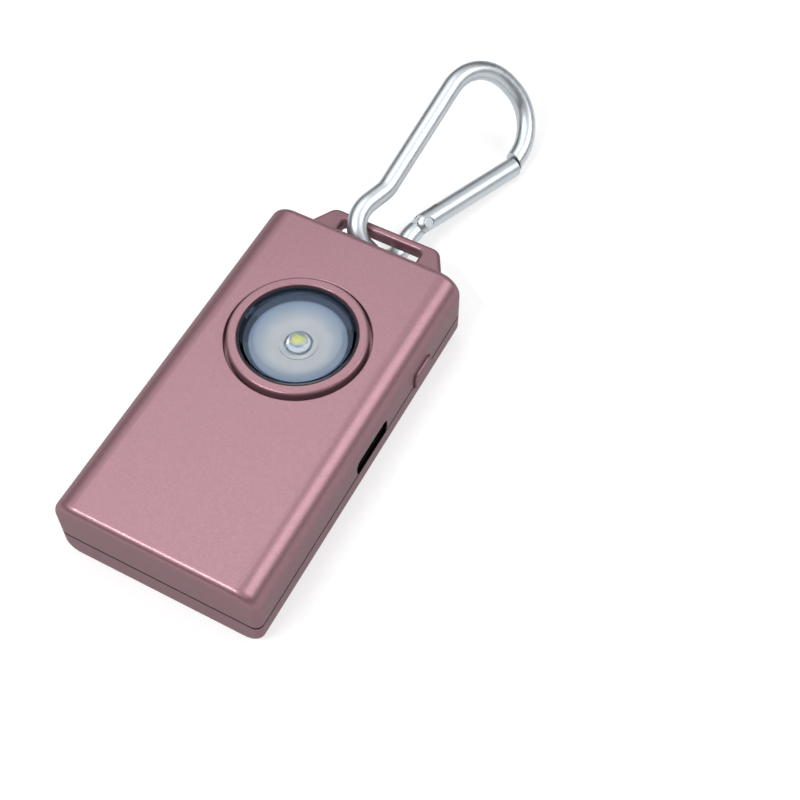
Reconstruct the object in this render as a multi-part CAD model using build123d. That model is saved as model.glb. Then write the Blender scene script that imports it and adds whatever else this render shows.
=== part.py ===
from build123d import *
from math import atan2, cos, degrees, radians, sin, tan
import os

# Personal safety alarm with a torch, a pull key and a snap hook.
# Millimetres. Origin at the centre of the flat back face, +Y towards the loop, +Z out of the front.

# Case
case_width = 36.2
case_length = 66.6
case_depth = 15.1
case_wall = 1.6
seam_share = 0.4007
front_edge_radius = 4.1
rear_edge_radius = 3.2
end_edge_radius = 1.4
hollow_corner_radius = 0.5
seam_groove_depth = 0.22
seam_groove_width = 0.24
lip_thickness = 0.8
lip_height = 1.2
lip_root_height = 1.6
fit_clearance = 0.1
seat_clearance = 0.02
overrun = 1.0

# Case screws and their bosses
boss_radius = 2.2
boss_gap = 0.2
screw_head_radius = 1.45
screw_head_height = 0.9
screw_head_recess = 1.05
screw_head_clearance = 0.15
screw_shank_radius = 0.8
screw_length = 6.2
screw_slot_width = 0.45
screw_slot_depth = 0.45
screw_tip_room = 0.6

# Torch
torch_place_share = 0.34655
bezel_outer_radius = 11.5
bezel_rise = 1.0
bezel_gap = 0.5
bezel_bore_radius = 9.84
bezel_sleeve_wall = 0.75
bezel_edge_radius = 0.45
bezel_inner_edge_radius = 0.2
bezel_ledge_width = 0.9
bezel_ledge_thickness = 0.6
well_depth = 1.7
well_floor = 1.3
well_wall = 1.2
well_edge_radius = 0.18
lens_drop = 0.28
lens_rim_height = 0.95
lens_seal_thickness = 0.34
lens_rim_width = 0.52
lens_slope_width = 1.8
lens_slope_drop = 0.2
lens_dish_drop = 0.5
lens_edge_radius = 0.12
reflector_depth = 1.75
reflector_base = 0.6
reflector_mouth_radius = 7.6
reflector_throat_radius = 2.4
reflector_ring_width = 0.75
reflector_ring_height = 0.25
led_body_side = 3.0
led_body_height = 0.7
led_dome_radius = 1.95
led_dome_height = 0.25
phosphor_side = 2.0
phosphor_height = 0.12
led_board_thickness = 0.8
led_lead_radius = 0.3
led_lead_spacing = 3.0
led_lead_inset = 2.6
led_lead_drop = 1.4

# Charging socket in the right side wall
port_place_share = 0.474
port_length = 10.0
port_height = 3.4
port_rise = 1.45
port_corner_radius = 1.2
socket_width = 8.94
socket_height = 3.16
socket_length = 7.3
socket_wall = 0.3
socket_inset = 0.55
socket_tongue_width = 6.6
socket_tongue_height = 0.7
socket_tongue_inset = 0.5
socket_back_thickness = 1.4

# Main board
board_thickness = 1.0
board_edge_gap = 0.3
board_place_share = 0.545
board_corner_gap = 0.4
post_radius = 1.2
post_socket_gap = 3.15
post_low_inset = 2.2
post_high_inset = 6.15
post_side_inset = 1.4
controller_width = 5.0
controller_length = 4.0
controller_height = 1.5
controller_inset = 5.2
controller_from_torch = 4.8
charger_side = 3.0
charger_height = 0.9
charger_socket_gap = 5.65
charger_from_torch = 2.2
capacitor_length = 2.0
capacitor_width = 1.25
capacitor_height = 0.9
capacitor_count = 4
capacitor_pitch = 2.6
capacitor_side_inset = 2.2
capacitor_low_inset = 4.5
coil_radius = 3.9
coil_core_radius = 1.6
coil_flange_height = 0.5
coil_floor_gap = 0.67
coil_waist = 0.7
coil_inset = 7.7
coil_from_torch = 0.8

# Siren and battery, in the lower half of the case
siren_side_room = 2.9
siren_end_room = 0.7
siren_disc_thickness = 0.25
siren_ceramic_share = 0.74
siren_ceramic_thickness = 0.25
siren_chamber_height = 1.3
siren_seat_width = 1.1
siren_ring_wall = 0.9
siren_ring_rise = 0.6
siren_foam_width = 1.6
siren_foam_height = 1.3
siren_notch_width = 5.0
siren_lead_radius = 0.28
siren_lead_spacing = 2.4
siren_lead_start_inset = 2.4
siren_lead_end_inset = 3.2
sound_hole_radius = 0.8
sound_hole_circle_share = 0.267
sound_hole_count = 6
mesh_share = 0.4
mesh_thickness = 0.15
battery_side_gap = 0.4
battery_low_gap = 1.35
battery_board_gap = 1.4
battery_edge_share = 0.22
battery_cap_length = 1.6
battery_cap_inset_share = 0.26
pad_inset = 2.0
pad_thickness = 0.8
battery_rib_wall = 1.2
battery_rib_height = 2.85
battery_lead_radius = 0.45
battery_lead_spacing = 3.2
battery_lead_rise = 1.6
battery_lead_run = 1.8

# Side button and its switch, in the right side wall
button_place_share = 0.2192
button_length = 5.4
button_height = 3.8
button_rise = 0.8
button_corner_radius = 1.0
button_edge_radius = 0.35
button_stand = 0.5
button_gap = 0.18
button_flange_margin = 0.8
button_flange_thickness = 0.7
button_travel = 0.35
button_stub_length = 2.4
button_stub_side = 1.6
switch_width = 4.6
switch_length = 3.3
switch_height = 2.3
switch_plunger_radius = 0.75
switch_plunger_stand = 0.8
switch_plunger_depth = 0.8

# Pull key
head_base_half_width = 14.4
head_top_half_width = 10.2
head_length = 7.1
head_thickness = 2.8
head_rise = 1.22
head_corner_radius = 2.0
head_edge_radius = 0.7
bar_width = 1.65
slot_half_width = 7.6
slot_base_width = 0.85
slot_corner_radius = 0.8
key_width = 8.0
key_tip_width = 6.6
key_thickness = 1.6
key_length = 13.4
key_tip_radius = 0.6
key_clearance = 0.2
key_stub_depth = 0.5
key_stub_inset = 1.0

# Pull switch beside the key
guide_wall = 1.1
guide_length = 4.5
guide_end_gap = 5.45
guide_roof = 0.7
lever_contact_inset = 3.05
lever_pivot_inset = 5.5
lever_thickness = 0.9
lever_width = 0.7
lever_nose_radius = 0.5
lever_boss_radius = 0.95
lever_tail = 1.7
lever_gap = 0.12
lever_pivot_offset = 2.3
lever_swing_room = 0.5
lever_pin_radius = 0.4
lever_pin_clearance = 0.05
lever_floor_gap = 0.15
fixed_contact_side = 0.6
fixed_contact_gap = 0.2

# Snap hook, bent from round wire and hung on the bar of the pull key
hook_wire_radius = 1.75
hook_offset_x = -1.775
hook_lean_angle = 13.05
hook_tilt_angle = 47.98
hook_spin_angle = -2.94
hook_spine_offset = 2.88
hook_head_top = 40.45
hook_head_right = 16.42
hook_shoulder_radius = 9.65
hook_nose_radius = 8.5
hook_nose_low = 27.0
hook_foot_radius = 4.4
hook_foot_drop = 3.45
hook_foot_left = 4.68
hook_foot_right = 5.92
hook_kink_low = 2.2
hook_kink_high = 7.4
hook_kink_radius = 6.0
hook_leg_top = 4.0
hook_leg_radius = 6.0
gate_pivot_across = 6.9
gate_pivot_height = 7.7
gate_angle = 65.2
gate_radius = 1.8
gate_length = 23.8
gate_tip_gap = 0.3
gate_fork_width = 1.5
gate_fork_length = 4.2
gate_end_room = 0.4
gate_tip_edge_radius = 0.25
tab_thickness = 1.2
tab_radius = 1.5
rivet_radius = 0.7
rivet_head_radius = 1.0
rivet_head_height = 0.3
rivet_flat_radius = 1.2
rivet_flat_depth = 0.25
rivet_edge_radius = 0.15
rivet_hole_clearance = 0.05
latch_length = 1.7
latch_thickness = 0.9
latch_outer_offset = 1.0
latch_inner_offset = 0.2
latch_clearance = 0.25
latch_end_room = 0.45
spring_radius = 0.52
spring_wire_radius = 0.14
spring_length = 8.0
spring_turns = 9
spring_bore_radius = 0.8

# Places worked out from the sizes above
half_width = case_width / 2
half_length = case_length / 2
inner_half_width = half_width - case_wall
inner_half_length = half_length - case_wall
front_inner = case_depth - case_wall
seam_height = case_depth * seam_share
lip_inset = case_wall + fit_clearance + lip_thickness

torch_centre_y = half_length - case_length * torch_place_share
well_bottom = case_depth - well_depth
bezel_top = case_depth + bezel_rise
bezel_sleeve_radius = bezel_bore_radius + bezel_sleeve_wall
throat_radius = bezel_sleeve_radius + fit_clearance
well_radius = bezel_outer_radius + bezel_gap
lens_top = bezel_top - lens_drop
lens_bottom = lens_top - lens_rim_height
lens_radius = bezel_bore_radius - lens_seal_thickness - 2 * seat_clearance
ledge_radius = bezel_bore_radius - bezel_ledge_width
ledge_bottom = lens_bottom - bezel_ledge_thickness
reflector_radius = bezel_bore_radius - fit_clearance
reflector_top = lens_bottom - seat_clearance
reflector_floor = reflector_top - reflector_depth
reflector_bottom = reflector_floor - reflector_base
led_board_bottom = reflector_bottom - led_board_thickness
sleeve_bottom = led_board_bottom
well_boss_bottom = well_bottom - well_floor

port_centre_y = half_length - case_length * port_place_share
port_centre_z = seam_height + port_rise
socket_back = half_width - socket_inset - socket_length
board_top = port_centre_z - socket_height / 2
board_bottom = board_top - board_thickness
board_low_y = half_length - case_length * board_place_share
board_high_y = half_length - lip_inset - board_edge_gap
board_half_width = half_width - lip_inset - board_edge_gap

boss_x = half_width - lip_inset - boss_gap - boss_radius
boss_y = half_length - lip_inset - boss_gap - boss_radius
boss_places = [(sx * boss_x, sy * boss_y) for sx in (-1, 1) for sy in (-1, 1)]
post_low = (socket_back - post_socket_gap, board_low_y + post_low_inset)
post_high = (board_half_width - post_side_inset, board_high_y - post_high_inset)
post_places = [(sx * x, y) for x, y in (post_low, post_high) for sx in (-1, 1)]
controller_x = controller_inset - board_half_width
controller_y = torch_centre_y + controller_from_torch
charger_x = socket_back - charger_socket_gap
charger_y = torch_centre_y - charger_from_torch
capacitor_row_x = capacitor_side_inset - board_half_width
capacitor_row_y = board_low_y + capacitor_low_inset
coil_x = coil_inset - board_half_width
coil_y = torch_centre_y + coil_from_torch

lower_room = inner_half_length + board_low_y
siren_centre_y = board_low_y - lower_room / 2
siren_disc_radius = min(inner_half_width - siren_side_room, lower_room / 2 - siren_end_room)
siren_ceramic_radius = siren_disc_radius * siren_ceramic_share
sound_hole_circle = siren_disc_radius * sound_hole_circle_share
mesh_radius = siren_disc_radius * mesh_share
disc_bottom = case_wall + siren_chamber_height
disc_top = disc_bottom + siren_disc_thickness
ceramic_top = disc_top + siren_ceramic_thickness
foam_top = disc_top + siren_foam_height
siren_ring_inner = siren_disc_radius - siren_seat_width
siren_ring_outer = siren_disc_radius + fit_clearance + siren_ring_wall
foam_outer_radius = siren_disc_radius - fit_clearance
pad_top = front_inner - battery_rib_height
battery_top = pad_top - pad_thickness
battery_thickness = battery_top - foam_top
battery_edge_radius = battery_thickness * battery_edge_share
battery_cap_inset = battery_thickness * battery_cap_inset_share
battery_width = 2 * (boss_x - boss_radius - battery_side_gap)
battery_low_y = battery_low_gap - inner_half_length
battery_high_y = board_low_y - battery_board_gap
battery_length = battery_high_y - battery_low_y
battery_centre_y = (battery_low_y + battery_high_y) / 2

button_centre_y = half_length - case_length * button_place_share
button_centre_z = seam_height + button_rise
button_face = half_width + button_stand
button_back = inner_half_width - seat_clearance
flange_back = button_back - button_flange_thickness
stub_end = flange_back - button_stub_length
switch_front = stub_end - seat_clearance - switch_plunger_stand
switch_plunger_z = board_top + switch_height / 2

head_rear_height = seam_height + head_rise
head_front_height = head_rear_height + head_thickness
head_top_y = half_length + head_length
bar_centre_y = head_top_y - bar_width / 2
head_centre_z = head_front_height - head_thickness / 2
slot_high_y = head_top_y - bar_width
slot_low_y = half_length + slot_base_width
key_centre_z = head_centre_z
key_tip_y = half_length - key_length
key_slope = (key_width - key_tip_width) / 2 / key_length
key_half_at_contact = key_width / 2 - key_slope * lever_contact_inset
tunnel_half_width = key_width / 2 + key_clearance
tunnel_low_z = key_centre_z - key_thickness / 2 - key_clearance
tunnel_high_z = key_centre_z + key_thickness / 2 + key_clearance
guide_high_y = inner_half_length - guide_end_gap
guide_low_y = guide_high_y - guide_length
lever_contact_y = half_length - lever_contact_inset
lever_pivot_y = lever_contact_y - lever_pivot_inset
lever_pivot_x = tunnel_half_width + lever_pivot_offset
lever_low_z = key_centre_z - lever_thickness / 2

hook_place = Location(
    (hook_offset_x, bar_centre_y, head_centre_z), (hook_lean_angle, hook_tilt_angle, hook_spin_angle)
)
gate_place = hook_place * Location((gate_pivot_across, gate_pivot_height, 0), (0, 0, gate_angle))


def block(x_low, x_high, y_low, y_high, z_low, z_high):
    """Box between two corners."""
    size = (x_high - x_low, y_high - y_low, z_high - z_low)
    return Pos(x_low, y_low, z_low) * Box(*size, align=(Align.MIN, Align.MIN, Align.MIN))


def disc(radius, z_low, z_high, x=0.0, y=0.0):
    """Upright cylinder between two heights."""
    align = (Align.CENTER, Align.CENTER, Align.MIN)
    return Pos(x, y, z_low) * Cylinder(radius, z_high - z_low, align=align)


def bar_along_x(x_low, x_high, y, z, radius):
    """Round bar along X."""
    return Plane(origin=(x_low, y, z), z_dir=(1, 0, 0)) * Pos(0, 0, (x_high - x_low) / 2) * Cylinder(
        radius, x_high - x_low
    )


def turned(points, y=0.0):
    """Solid of revolution about a vertical axis, from (radius, height) points."""
    outline = make_face(Plane.XZ * Polyline(*points, close=True))
    return Pos(0, y, 0) * revolve(outline, Axis.Z)


def round_edges(solid, height):
    """Circular edges at one height, the smallest first."""
    edges = solid.edges().filter_by_position(Axis.Z, height - seat_clearance / 2, height + seat_clearance / 2)
    return edges.filter_by(GeomType.CIRCLE).sort_by(lambda e: e.radius)


def rounded_route(points):
    """Line through the points with each bend as large as its two runs allow."""
    points = [Vector(*p) for p in points]
    radii = []
    for before, at, after in zip(points, points[1:], points[2:]):
        first, second = at - before, after - at
        half_turn = radians(first.get_angle(second)) / 2
        run_share = 0.45
        radii.append(run_share * min(first.length, second.length) / tan(half_turn))
    return FilletPolyline(*points, radius=radii)


def tube(points, radius):
    """Round lead along a route."""
    path = rounded_route(points)
    section = Plane(origin=path @ 0, z_dir=path % 0) * Circle(radius)
    return sweep(section, path=path)


def case_block(inset=0.0):
    """The closed form of the whole case, or of its hollow when inset."""
    front_r, rear_r = front_edge_radius - inset, rear_edge_radius - inset
    plan_r = max(end_edge_radius - inset, hollow_corner_radius)
    half_depth = case_depth / 2
    across = Rectangle(case_width - 2 * inset, case_depth - 2 * inset)
    corners = across.vertices().group_by(Axis.Y)
    across = fillet(corners[-1], front_r)
    across = fillet(across.vertices().group_by(Axis.Y)[0].sort_by(Axis.X), rear_r)
    prism = extrude(Plane.XZ * Pos(0, half_depth) * across, amount=half_length - inset, both=True)
    if inset == 0:
        return prism
    plan = extrude(RectangleRounded(case_width - 2 * inset, case_length - 2 * inset, plan_r), amount=case_depth)
    return prism & plan


def case_form():
    """Outside of the case, with the rims of its two end faces rounded all the way round."""
    prism = case_block()
    rims = prism.edges().group_by(Axis.Y)
    return fillet(rims[0] + rims[-1], end_edge_radius)


def slab(z_low, z_high):
    """Everything of the case between two heights."""
    reach_x, reach_y = half_width + overrun, half_length + overrun
    return block(-reach_x, reach_x, -reach_y, reach_y, z_low, z_high)


def port_cut():
    """Mouth of the charging port, which the seam runs into."""
    mouth = Pos(port_centre_y, port_centre_z) * RectangleRounded(port_length, port_height, port_corner_radius)
    return Plane(origin=(inner_half_width - overrun, 0, 0), x_dir=(0, 1, 0), z_dir=(1, 0, 0)) * extrude(
        mouth, amount=case_wall + 2 * overrun
    )


def button_prism(x_low, x_high, margin):
    """Button outline, larger all round by the margin, between two places along X."""
    outline = RectangleRounded(
        button_length + 2 * margin, button_height + 2 * margin, button_corner_radius + max(margin, 0)
    )
    plane = Plane(origin=(x_low, button_centre_y, button_centre_z), x_dir=(0, 1, 0), z_dir=(1, 0, 0))
    return plane * extrude(outline, amount=x_high - x_low)


def front_shell():
    shell = case_form() - case_block(case_wall)
    shell &= slab(seam_height, case_depth + overrun)
    hollow = case_block(case_wall) & slab(seam_height, case_depth)
    well_boss = disc(well_radius + well_wall, well_boss_bottom, case_depth, y=torch_centre_y)
    extras = [well_boss & case_form()]
    for x, y in boss_places:
        extras.append(disc(boss_radius, seam_height, front_inner + case_wall / 2, x, y))
    for x, y in post_places:
        extras.append(disc(post_radius, board_top, front_inner + case_wall / 2, x, y))
    for extra in extras:
        shell += extra & (hollow + slab(front_inner - overrun, case_depth - case_wall / 2))
    shell += battery_rib()
    shell -= disc(well_radius, well_bottom, case_depth + overrun, y=torch_centre_y)
    shell -= disc(throat_radius, well_boss_bottom - overrun, case_depth, y=torch_centre_y)
    shell = fillet(round_edges(shell, case_depth), well_edge_radius)
    for x, y in boss_places:
        shell -= disc(screw_shank_radius, seam_height - overrun, screw_tip_z() + screw_tip_room, x, y)
    shell -= port_cut()
    shell -= button_prism(inner_half_width - overrun, half_width + overrun, button_gap)
    shell -= key_slot()
    return shell


def battery_rib():
    """Frame inside the front shell that holds the pad down on the battery."""
    top = front_inner + case_wall / 2
    outer = over_battery(pad_inset, pad_top, top)
    return outer - over_battery(pad_inset + battery_rib_wall, pad_top - overrun, front_inner)


def over_battery(inset, z_low, z_high):
    """Block over the battery, smaller all round than it by the inset."""
    half_x, half_y = battery_width / 2 - inset, battery_length / 2 - inset
    return block(-half_x, half_x, battery_centre_y - half_y, battery_centre_y + half_y, z_low, z_high)


def lip_ring():
    """Lip of the rear cover that stands inside the front shell."""
    root = case_block(case_wall / 2) & slab(seam_height - lip_root_height, seam_height)
    stand = case_block(case_wall + fit_clearance) & slab(seam_height, seam_height + lip_height)
    return root + stand - case_block(lip_inset)


def key_slot():
    """Slot in the end wall for the key."""
    return block(
        -tunnel_half_width,
        tunnel_half_width,
        inner_half_length - overrun,
        half_length + overrun,
        tunnel_low_z,
        tunnel_high_z,
    )


def screw_tip_z():
    return screw_head_recess + screw_length


def rear_cover():
    cover = case_form() - case_block(case_wall)
    cover &= slab(-overrun, seam_height)
    groove = slab(seam_height - seam_groove_width, seam_height) - case_block(seam_groove_depth)
    cover -= groove
    floor_overlap = case_wall / 2
    inside = case_block(floor_overlap) & slab(0, seam_height)
    for x, y in boss_places:
        cover += disc(boss_radius, floor_overlap, seam_height, x, y) & inside
    for x, y in post_places:
        cover += disc(post_radius, floor_overlap, board_bottom, x, y)
    cover += lip_ring() - lip_gaps()
    cover += siren_ring()
    for x, y in boss_places:
        cover -= disc(screw_head_radius + screw_head_clearance, -overrun, screw_head_recess, x, y)
        cover -= disc(screw_shank_radius + screw_head_clearance, 0, seam_height + overrun, x, y)
    cover -= port_cut()
    cover -= button_prism(inner_half_width - lip_thickness - overrun, half_width + overrun, button_gap)
    for x, y in sound_hole_places():
        cover -= disc(sound_hole_radius, -overrun, case_wall + overrun, x, y)
    return cover


def lip_gaps():
    """Gaps in the lip behind the charging port and the button's flange."""
    gaps = Part()
    flange_half = button_length / 2 + button_flange_margin + key_clearance
    for y, half in ((port_centre_y, port_length / 2 + fit_clearance), (button_centre_y, flange_half)):
        gaps += block(half_width - lip_inset - overrun, half_width, y - half, y + half, 0, case_depth)
    return gaps & case_block(case_wall)


def siren_ring():
    """Wall and seat that carry the siren disc over the sound holes."""
    floor_overlap = case_wall / 2
    ring = disc(siren_ring_outer, floor_overlap, disc_top + siren_ring_rise, y=siren_centre_y)
    ring -= disc(siren_disc_radius + fit_clearance, disc_bottom, foam_top, y=siren_centre_y)
    ring -= disc(siren_ring_inner, floor_overlap - overrun, foam_top, y=siren_centre_y)
    ring -= siren_notch(disc_top)
    return ring & case_block(floor_overlap)


def siren_notch(z_low):
    """Way out of the ring for the siren's leads."""
    half = siren_notch_width / 2
    return block(-half, half, siren_centre_y, siren_centre_y + siren_ring_outer + overrun, z_low, board_bottom)


def sound_hole_places():
    around = [360 / sound_hole_count * i for i in range(sound_hole_count)]
    ring = [(sound_hole_circle * cos(radians(a)), siren_centre_y + sound_hole_circle * sin(radians(a))) for a in around]
    return [(0, siren_centre_y)] + ring


def case_screws():
    screws = []
    for x, y in boss_places:
        seat = screw_head_recess
        screw = disc(screw_head_radius, seat - screw_head_height, seat - seat_clearance / 2, x, y)
        screw += disc(screw_shank_radius - seat_clearance / 2, seat - seat_clearance, screw_tip_z(), x, y)
        for across, along in ((screw_head_radius, screw_slot_width / 2), (screw_slot_width / 2, screw_head_radius)):
            screw -= block(
                x - across * drive_share(),
                x + across * drive_share(),
                y - along * drive_share(),
                y + along * drive_share(),
                seat - screw_head_height - overrun,
                seat - screw_head_height + screw_slot_depth,
            )
        screws.append(screw)
    return Compound(children=screws)


def drive_share():
    """Part of the head's radius that the cross drive spans."""
    return 0.72


def lens_bezel():
    flange_low = well_bottom
    ring = disc(bezel_outer_radius, flange_low, bezel_top, y=torch_centre_y)
    ring += disc(bezel_sleeve_radius, sleeve_bottom, flange_low + overrun, y=torch_centre_y)
    ring -= disc(bezel_bore_radius, lens_bottom, bezel_top + overrun, y=torch_centre_y)
    ring -= disc(ledge_radius, ledge_bottom - overrun, lens_bottom + overrun, y=torch_centre_y)
    ring -= disc(bezel_bore_radius, sleeve_bottom - overrun, ledge_bottom, y=torch_centre_y)
    ring = fillet(round_edges(ring, bezel_top)[-1], bezel_edge_radius)
    return fillet(round_edges(ring, bezel_top)[0], bezel_inner_edge_radius)


def lens_seal():
    outer = bezel_bore_radius - seat_clearance
    inner = outer - lens_seal_thickness
    seal = disc(outer, lens_bottom, lens_top - lens_edge_radius, y=torch_centre_y)
    return seal - disc(inner, lens_bottom - overrun, lens_top + overrun, y=torch_centre_y)


def torch_lens():
    rim_inner = lens_radius - lens_rim_width
    dish_radius = rim_inner - lens_slope_width
    slope_top = lens_top - lens_slope_drop
    dish_top = lens_top - lens_dish_drop
    return turned(
        [
            (0, lens_bottom),
            (lens_radius, lens_bottom),
            (lens_radius, lens_top - lens_edge_radius),
            (lens_radius - lens_edge_radius, lens_top),
            (rim_inner, slope_top),
            (dish_radius, dish_top),
            (0, dish_top),
        ],
        torch_centre_y,
    )


def reflector():
    spigot = ledge_radius - fit_clearance
    shoulder = ledge_bottom - seat_clearance
    ring_outer = reflector_throat_radius + reflector_ring_width
    body = turned(
        [
            (reflector_throat_radius, reflector_bottom),
            (reflector_radius, reflector_bottom),
            (reflector_radius, shoulder),
            (spigot, shoulder),
            (spigot, reflector_top),
            (reflector_mouth_radius, reflector_top),
            (ring_outer, reflector_floor),
            (ring_outer, reflector_floor + reflector_ring_height),
            (reflector_throat_radius, reflector_floor + reflector_ring_height),
        ],
        torch_centre_y,
    )
    return body


def led_package():
    half = led_body_side / 2
    low, top = reflector_bottom, reflector_bottom + led_body_height
    body = block(-half, half, torch_centre_y - half, torch_centre_y + half, low, top)
    ring = disc(led_dome_radius, top, top + led_dome_height, y=torch_centre_y)
    reach = phosphor_side / 2 + fit_clearance
    body += ring
    body -= block(
        -reach,
        reach,
        torch_centre_y - reach,
        torch_centre_y + reach,
        top,
        top + led_dome_height + overrun,
    )
    return body


def led_phosphor():
    low = reflector_bottom + led_body_height
    half = phosphor_side / 2
    return block(-half, half, torch_centre_y - half, torch_centre_y + half, low, low + phosphor_height)


def led_board():
    radius = bezel_bore_radius - fit_clearance
    return disc(radius, led_board_bottom, reflector_bottom, y=torch_centre_y)


def led_leads():
    start_y = torch_centre_y - led_lead_inset
    leads = []
    for side in (-1, 1):
        x = side * led_lead_spacing / 2
        leads.append(
            tube(
                [
                    (x, start_y, led_board_bottom),
                    (x, start_y, led_board_bottom - led_lead_drop),
                    (x, start_y - led_lead_drop, board_top + led_lead_drop),
                    (x, start_y - led_lead_drop, board_top),
                ],
                led_lead_radius,
            )
        )
    return Compound(children=leads)


def main_board():
    board = block(-board_half_width, board_half_width, board_low_y, board_high_y, board_bottom, board_top)
    reach = boss_radius + board_corner_gap
    for side in (-1, 1):
        x_low, x_high = sorted((side * (boss_x - reach), side * half_width))
        board -= block(x_low, x_high, boss_y - reach, half_length, board_bottom - overrun, board_top + overrun)
    return board


def chip(x, y, width, length, height):
    return block(x - width / 2, x + width / 2, y - length / 2, y + length / 2, board_top, board_top + height)


def board_capacitors():
    parts = []
    for i in range(capacitor_count):
        y = capacitor_row_y + i * capacitor_pitch
        parts.append(chip(capacitor_row_x, y, capacitor_length, capacitor_width, capacitor_height))
    return Compound(children=parts)


def siren_coil():
    """Drum core coil under the board, with a waist for its winding."""
    low = case_wall + coil_floor_gap
    waist = coil_radius - coil_waist
    coil = disc(coil_radius, low, low + coil_flange_height, coil_x, coil_y)
    coil += disc(waist, low, board_bottom, coil_x, coil_y)
    coil += disc(coil_radius, board_bottom - coil_flange_height, board_bottom, coil_x, coil_y)
    return coil - disc(coil_core_radius, low - overrun, low + coil_flange_height, coil_x, coil_y)


def socket_outline(inset=0.0):
    height = socket_height - 2 * inset
    return SlotOverall(socket_width - 2 * inset, height)


def socket_plane(x):
    return Plane(origin=(x, port_centre_y, port_centre_z), x_dir=(0, 1, 0), z_dir=(1, 0, 0))


def charge_socket_shell():
    shell = socket_plane(socket_back) * extrude(socket_outline(), amount=socket_length)
    hollow = extrude(socket_outline(socket_wall), amount=socket_length + 2 * overrun)
    return shell - socket_plane(socket_back - overrun) * hollow


def charge_socket_tongue():
    base = extrude(socket_outline(socket_wall + seat_clearance), amount=socket_back_thickness)
    tongue = extrude(Rectangle(socket_tongue_width, socket_tongue_height), amount=socket_length - socket_tongue_inset)
    return socket_plane(socket_back) * (base + tongue)


def side_button():
    button = button_prism(flange_back, button_face, 0)
    face = button.faces().sort_by(Axis.X)[-1]
    button = fillet(face.edges(), button_edge_radius)
    button += button_prism(flange_back, button_back, button_flange_margin)
    half = button_stub_side / 2
    button += block(
        stub_end,
        flange_back + seat_clearance,
        button_centre_y - half,
        button_centre_y + half,
        switch_plunger_z - half,
        switch_plunger_z + half,
    )
    return button


def tact_switch():
    half = switch_width / 2
    body = block(
        switch_front - switch_length,
        switch_front,
        button_centre_y - half,
        button_centre_y + half,
        board_top,
        board_top + switch_height,
    )
    bore_radius = switch_plunger_radius + lever_pin_clearance
    room = switch_plunger_depth + button_travel + fit_clearance
    return body - bar_along_x(switch_front - room, switch_front + overrun, button_centre_y, switch_plunger_z, bore_radius)


def switch_plunger():
    tip = switch_front + switch_plunger_stand
    return bar_along_x(
        switch_front - switch_plunger_depth, tip, button_centre_y, switch_plunger_z, switch_plunger_radius
    )


def siren_disc():
    return disc(siren_disc_radius, disc_bottom, disc_top, y=siren_centre_y)


def siren_ceramic():
    return disc(siren_ceramic_radius, disc_top, ceramic_top, y=siren_centre_y)


def siren_foam():
    inner = foam_outer_radius - siren_foam_width
    ring = disc(foam_outer_radius, disc_top, foam_top, y=siren_centre_y)
    ring -= disc(inner, disc_top - overrun, foam_top + overrun, y=siren_centre_y)
    return ring - siren_notch(disc_top - overrun)


def siren_leads():
    """Two leads that lie on the ceramic and rise through the notch to the board."""
    start_y = siren_centre_y + siren_ceramic_radius - siren_lead_start_inset
    end_y = board_low_y + siren_lead_end_inset
    run_z = ceramic_top + siren_lead_radius
    leads = []
    for side in (-1, 1):
        x = side * siren_lead_spacing / 2
        leads.append(tube([(x, start_y, run_z), (x, end_y, run_z), (x, end_y, board_bottom)], siren_lead_radius))
    return Compound(children=leads)


def dust_mesh():
    return disc(mesh_radius, case_wall, case_wall + mesh_thickness, y=siren_centre_y)


def battery():
    half = battery_width / 2
    cell = block(-half, half, battery_low_y, battery_high_y - battery_cap_length, foam_top, battery_top)
    cell = fillet(cell.edges().filter_by(Axis.Y), battery_edge_radius)
    cap_half = half - battery_cap_inset
    cap_low, cap_high = foam_top + battery_cap_inset, battery_top - battery_cap_inset
    return cell + block(-cap_half, cap_half, battery_high_y - battery_cap_length, battery_high_y, cap_low, cap_high)


def battery_pad():
    return over_battery(pad_inset, battery_top, pad_top)


def battery_leads():
    """Two leads from the battery's cap, bent over the board's edge and down onto it."""
    start_z = board_top + battery_lead_radius + seat_clearance
    top_z = start_z + battery_lead_rise
    first_y = battery_high_y + battery_lead_run
    second_y = first_y + battery_lead_rise
    end_y = second_y + battery_lead_run
    leads = []
    for side in (-1, 1):
        x = side * battery_lead_spacing / 2
        bends = [(battery_high_y, start_z), (first_y, start_z), (second_y, top_z), (end_y, top_z), (end_y, board_top)]
        leads.append(tube([(x, y, z) for y, z in bends], battery_lead_radius))
    return Compound(children=leads)


def pull_switch_base():
    """Guide on the board that the key slides through, with a pocket for the lever."""
    right = lever_pivot_x + lever_boss_radius + lever_swing_room + guide_wall
    left = -tunnel_half_width - guide_wall
    top = tunnel_high_z + guide_roof
    base = block(left, right, guide_low_y, guide_high_y, board_top, top)
    base -= block(
        -tunnel_half_width, tunnel_half_width, guide_low_y - overrun, guide_high_y + overrun, tunnel_low_z, tunnel_high_z
    )
    floor = lever_low_z - lever_floor_gap
    base -= block(
        tunnel_half_width - seat_clearance,
        right - guide_wall,
        lever_pivot_y - lever_tail - lever_swing_room,
        guide_high_y + overrun,
        floor,
        top + overrun,
    )
    return base - disc(lever_pin_radius, floor - overrun / 2, floor + overrun, lever_pivot_x, lever_pivot_y)


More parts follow.
